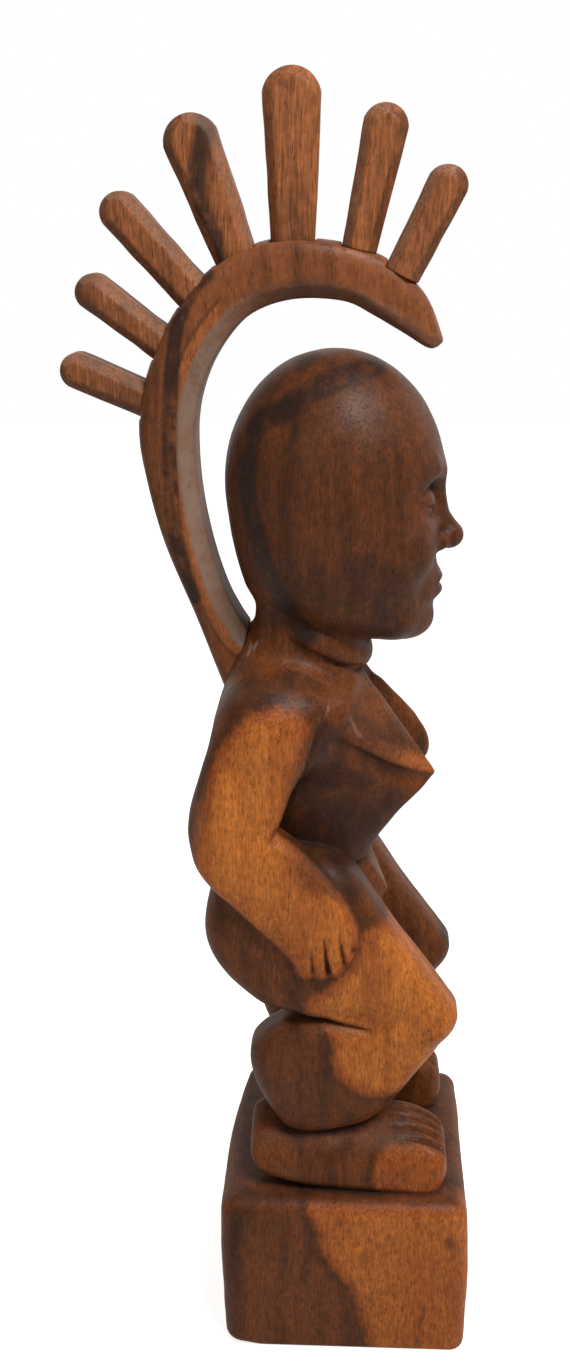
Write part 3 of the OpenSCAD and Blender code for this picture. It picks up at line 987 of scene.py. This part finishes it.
def grain(g):
    """Place in millimetres, swayed so that the upright fibres wander a little."""
    place = g.node("ShaderNodeTexCoord", {}).outputs["Object"]
    place = g.stretch(place, (1000, 1000, 1000))
    sway = g.noise(g.stretch(place, (1, 1, 0.4)), 0.022, 1.0, output="Color")
    sway = g.node("ShaderNodeVectorMath", {0: sway, 1: (0.5, 0.5, 0.5)}, operation="SUBTRACT").outputs[0]
    sway = g.stretch(sway, (16, 16, 0))
    return place, g.node("ShaderNodeVectorMath", {0: place, 1: sway}, operation="ADD").outputs[0]


def pores(g, swayed, length):
    """1 in the short open pores that run along the grain."""
    stretched = g.stretch(swayed, (1.0, 1.0, length * 1.3))
    cells = g.node("ShaderNodeTexVoronoi", {"Vector": stretched, "Scale": 1.0})
    near = g.span(cells.outputs["Distance"], 0.14, 0.27, 1.0, 0.0)
    kept = g.span(g.node("ShaderNodeSeparateColor", {0: cells.outputs["Color"]}).outputs[0], 0.30, 0.40)
    return g.times(near, kept)


def wood(name, heart, red, deep, gold, amber, fibre_depth, length, shine):
    """Oiled wood: heartwood, sapwood where the mesh says so, dark streaking and painted shade, pores, fibres,
    dirt and painted shade in hollows, edges lighter from wear and painted highlight, pale marks and painted
    sheen.
    """
    g = Graph(bpy.data.materials.new(name))
    place, swayed = grain(g)
    fibre = g.noise(g.stretch(swayed, (1.0, 1.0, length)), 1.1, 4.0, 0.65)
    bands = g.noise(g.stretch(swayed, (1.0, 1.0, 0.07)), 0.11, 3.0, 0.55)
    figure_tone = g.noise(g.stretch(swayed, (1.0, 1.0, 0.35)), 0.030, 2.0, 0.5)
    blotch = g.noise(place, 0.10, 3.0, 0.6)
    pore = pores(g, swayed, length)

    tone = g.plus(g.times(bands, 0.55), g.times(figure_tone, 0.45))
    dark_wood = g.steps(tone, [(0.34, deep), (0.47, heart), (0.56, red), (0.70, heart)])
    light_wood = g.steps(tone, [(0.36, amber), (0.52, gold), (0.66, tuple(1.22 * v for v in gold))])

    depth = g.plus(g.attribute("sap"), g.times(g.math("SUBTRACT", blotch, 0.5), 4.5))
    depth = g.plus(depth, g.times(g.math("SUBTRACT", fibre, 0.5), 2.5))
    rim = g.times(g.span(depth, -8.0, -3.0), g.span(depth, 0.5, -1.5))
    rim = g.times(rim, g.span(figure_tone, 0.40, 0.60, 0.25, 1.0))
    colour = g.mix(g.times(rim, 0.72), dark_wood, (*deep, 1))
    fringe = g.mix(g.span(depth, 1.0, 6.0), (*amber, 1), light_wood)
    colour = g.mix(g.span(depth, -3.2, 2.0), colour, fringe)

    fibre_tone = g.span(fibre, 0.30, 0.70, 1.0 - fibre_depth, 1.0 + fibre_depth)
    colour = g.shade(colour, fibre_tone)
    mottle = g.span(g.noise(place, 0.30, 4.0, 0.7), 0.30, 0.70, 0.82, 1.16)
    colour = g.shade(colour, mottle)
    # Near black from the streak attribute: dark streaking in the wood, and painted shade in recesses, creases
    # and lower chamfers.
    streaks_and_shade = g.math("MULTIPLY", g.attribute("streak"), g.span(blotch, 0.30, 0.55, 0.45, 1.0), True)
    colour = g.mix(g.times(streaks_and_shade, 0.86), colour, (0.016, 0.010, 0.008, 1))
    colour = g.mix(g.times(pore, 0.42), colour, (0.022, 0.010, 0.006, 1))

    # Hollows darkened towards near black: dirt in the cuts, and painted shade in creases and deep recesses.
    hollow = g.attribute("hollow")
    deep_hollow = g.times(g.span(g.attribute("wide_hollow"), 0.14, 0.78), 0.75)
    deep_hollow = g.times(deep_hollow, g.span(depth, -2.0, 5.0, 1.0, 0.15))
    line_hollow = g.times(g.span(hollow, 0.08, 0.55), g.span(depth, -2.0, 5.0, 1.0, 0.6))
    grime_and_shade = g.math("MAXIMUM", line_hollow, deep_hollow)
    colour = g.mix(g.times(grime_and_shade, 0.84), colour, (0.010, 0.005, 0.004, 1))
    # Sharp edges lighter and orange: wear, and a painted highlight along the edges.
    wear_and_edge_light = g.times(g.span(hollow, -0.22, -0.75), g.span(blotch, 0.35, 0.6, 0.4, 1.0))
    colour = g.mix(g.times(wear_and_edge_light, 0.34), colour, (0.28, 0.10, 0.042, 1))
    # Pale grey marks: glue specks, and painted sheen and painted highlights on bevels and facets.
    marks_and_sheen = g.times(g.attribute("pale_marks_and_sheen"), g.span(blotch, 0.30, 0.62, 0.55, 1.0))
    colour = g.mix(marks_and_sheen, colour, (0.225, 0.150, 0.112, 1))

    dull = g.plus(g.times(fibre, 0.16), g.times(pore, 0.20))
    dull = g.plus(dull, g.times(blotch, 0.14))
    dull = g.plus(dull, g.times(grime_and_shade, 0.25))
    rough = g.plus(g.plus(dull, g.times(g.attribute("pale_marks_and_sheen"), 0.12)), shine)
    relief = g.math("SUBTRACT", g.times(fibre, 0.30), g.times(pore, 0.55))
    relief = g.plus(relief, g.times(g.noise(place, 0.35, 3.0), 0.5))
    bump = g.node("ShaderNodeBump", {"Strength": 1.0, "Distance": 0.00028, "Height": relief})
    g.feed(base_color=colour, roughness=rough, normal=bump.outputs[0])
    g.shader.inputs["Specular IOR Level"].default_value = 0.15
    return g.owner


def dowel_wood():
    """Raw pale birch with fine lengthwise fibres."""
    g = Graph(bpy.data.materials.new("dowel_wood"))
    swayed = grain(g)[1]
    fibre = g.noise(g.stretch(swayed, (2.0, 0.5, 0.5)), 1.2, 4.0, 0.6)
    stops = [(0.30, (0.42, 0.25, 0.12)), (0.50, (0.60, 0.40, 0.22)), (0.72, (0.70, 0.50, 0.30))]
    colour = g.steps(fibre, stops)
    bump = g.node("ShaderNodeBump", {"Strength": 0.7, "Distance": 0.0001, "Height": fibre})
    g.feed(base_color=colour, roughness=g.span(fibre, 0.3, 0.7, 0.60, 0.78), normal=bump.outputs[0])
    return g.owner


# ---- the pieces

NO_SAPWOOD = -20.0
CREST_GOLD = (0.370, 0.140, 0.036)
CREST_AMBER = (0.290, 0.088, 0.026)


def make_figure():
    obj, points = carved_piece("figure_carving", sculpt_figure())
    set_attribute(obj.data, "sap", pale_wood(points))
    set_attribute(obj.data, "streak", figure_streaks_and_shade(points))
    set_attribute(obj.data, "pale_marks_and_sheen", pale_specks(points))
    obj.data.materials.append(wood("figure_wood", heart=(0.100, 0.029, 0.008), red=(0.138, 0.039, 0.010),
                                   deep=(0.046, 0.015, 0.005), gold=(0.400, 0.120, 0.021),
                                   amber=(0.270, 0.068, 0.014), fibre_depth=0.26, length=0.13, shine=0.28))
    finish_piece(obj, "figure_wood", "figure")


def make_crest():
    obj, points = carved_piece("crest_board", sculpt_crest())
    inner = curve_distance(curve_points(CREST_INNER, False), points[:, 1], points[:, 2])
    aloft = np.where(points[:, 2] > 440, ramp(points[:, 1], -56, -30, 1, 0.15), 1)
    beside_bevel = (aloft > 0.9) & (inner > 6.5)
    set_attribute(obj.data, "sap", np.where(beside_bevel, ramp(inner, 10, 14, 0.4, -9.0), NO_SAPWOOD))
    # Painted shadow on the underside of the inner bevel along the crest's top.
    under = 0.75 * ramp(inner, 4.2, 5.4, 1, 0) * (1 - aloft)
    set_attribute(obj.data, "streak", np.maximum(crest_streaks(points), under))
    # Painted sheen: the inner bevel pale grey, fading out along the top.
    set_attribute(obj.data, "pale_marks_and_sheen", 0.88 * aloft * ramp(inner, 6.0, 8.0, 1, 0))
    obj.data.materials.append(wood("crest_wood", heart=(0.155, 0.050, 0.018), red=(0.205, 0.064, 0.021),
                                   deep=(0.085, 0.028, 0.011), gold=CREST_GOLD, amber=CREST_AMBER,
                                   fibre_depth=0.16, length=0.10, shine=0.26))
    finish_piece(obj, "crest_wood", "crest_arch")


def make_rays():
    material = wood("ray_wood", heart=(0.215, 0.072, 0.025), red=(0.265, 0.088, 0.030),
                    deep=(0.130, 0.045, 0.018), gold=CREST_GOLD, amber=CREST_AMBER,
                    fibre_depth=0.36, length=0.075, shine=0.36)
    for number in range(len(RAYS)):
        root, along, across = ray_axes(number)

        def place(points, turn_only=False):
            f = points[:, 1] * across[0] + points[:, 2] * along[0]
            z = points[:, 1] * across[1] + points[:, 2] * along[1]
            shift = 0 if turn_only else 1
            return np.stack([points[:, 0], f + shift * root[0], z + shift * root[1]], 1)

        obj, points = carved_piece(f"ray_carving_{number + 1}", sculpt_ray(number), place)
        set_attribute(obj.data, "sap", np.full(len(points), NO_SAPWOOD))
        side = (points[:, 1] - root[0]) * across[0] + (points[:, 2] - root[1]) * across[1]
        beveled = ramp(np.abs(points[:, 0]), RAY_HALF - 0.9, RAY_HALF - 0.4, 1, 0)
        lower = -side * np.sign(across[1])
        # Painted shade on each ray's lower chamfer.
        set_attribute(obj.data, "streak", np.maximum(ray_streaks(points), 0.55 * beveled * (lower > 0)))
        # Painted highlight on each ray's upper chamfer.
        set_attribute(obj.data, "pale_marks_and_sheen", 0.34 * beveled * (lower < 0))
        obj.data.materials.append(material)
        finish_piece(obj, "ray_wood", f"ray_{number + 1}")


def finish_dowels():
    material = dowel_wood()
    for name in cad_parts:
        if "dowel" in name:
            obj = bpy.data.objects[name]
            obj.data.materials.clear()
            obj.data.materials.append(material)


# ---- camera, floor and light

def set_camera():
    """Level with the crest's top, a little behind square to the figure's right side, looking down."""
    yaw, pitch, roll = math.radians(3.25), math.radians(18.73), math.radians(-0.7)
    forward = Vector((math.cos(yaw) * math.cos(pitch), math.sin(yaw) * math.cos(pitch), -math.sin(pitch)))
    right = Vector((math.sin(yaw), -math.cos(yaw), 0))
    up = right.cross(forward)
    right, up = (right * math.cos(roll) + up * math.sin(roll), up * math.cos(roll) - right * math.sin(roll))
    turn = Matrix((right, up, -forward)).transposed().to_4x4()
    data = bpy.data.cameras.new("camera")
    data.sensor_width = 36
    data.lens = 36.76
    camera = new_object("camera", data)
    place = (-0.584, -0.0057, 0.5108)
    camera.matrix_world = Matrix.Translation(place) @ turn
    bpy.context.scene.camera = camera


def set_floor():
    size = 3.0
    mesh = bpy.data.meshes.new("floor")
    corners = [(-size, -size, 0), (size, -size, 0), (size, size, 0), (-size, size, 0)]
    mesh.from_pydata(corners, [], [(0, 1, 2, 3)])
    g = Graph(bpy.data.materials.new("floor_paint"))
    seen = g.node("ShaderNodeLightPath", {}).outputs["Is Camera Ray"]
    g.feed(base_color=(0.62, 0.60, 0.57, 1), roughness=0.9, emission_color=(1, 0.996, 0.99, 1),
           emission_strength=g.span(seen, 0.0, 1.0, 0.12, 0.77))
    mesh.materials.append(g.owner)
    new_object("floor", mesh)


ROOM = 0.07
BACKDROP = 0.95


def area_light(name, place, aim, size, energy):
    data = bpy.data.lights.new(name, "AREA")
    data.energy = energy
    data.size = size
    light = new_object(name, data)
    light.location = place
    light.rotation_euler = (Vector(aim) - Vector(place)).to_track_quat("-Z", "Y").to_euler()


def set_light():
    """A white backdrop behind the figure, a dim room on the camera's side, and two soft lamps."""
    g = Graph(bpy.data.worlds.new("studio"), "Background")
    bpy.context.scene.world = g.owner
    split = g.node("ShaderNodeSeparateXYZ", {0: g.node("ShaderNodeTexCoord", {}).outputs["Generated"]})
    side = g.span(split.outputs["X"], -0.35, 0.45, ROOM, BACKDROP)
    seen = g.node("ShaderNodeLightPath", {}).outputs["Is Camera Ray"]
    strength = g.node("ShaderNodeMix", {0: seen, 2: side, 3: 1.0}).outputs[0]
    g.feed(color=(1, 1, 1, 1), strength=strength)
    area_light("key", (-0.64, -0.50, 1.40), (0, 0, 0.30), 0.5, 20)
    area_light("fill", (-1.10, 0.55, 0.85), (0, 0, 0.30), 0.7, 2.0)
    bpy.context.scene.view_settings.view_transform = "Standard"


set_camera()
set_floor()
set_light()
make_figure()
make_crest()
make_rays()
finish_dowels()
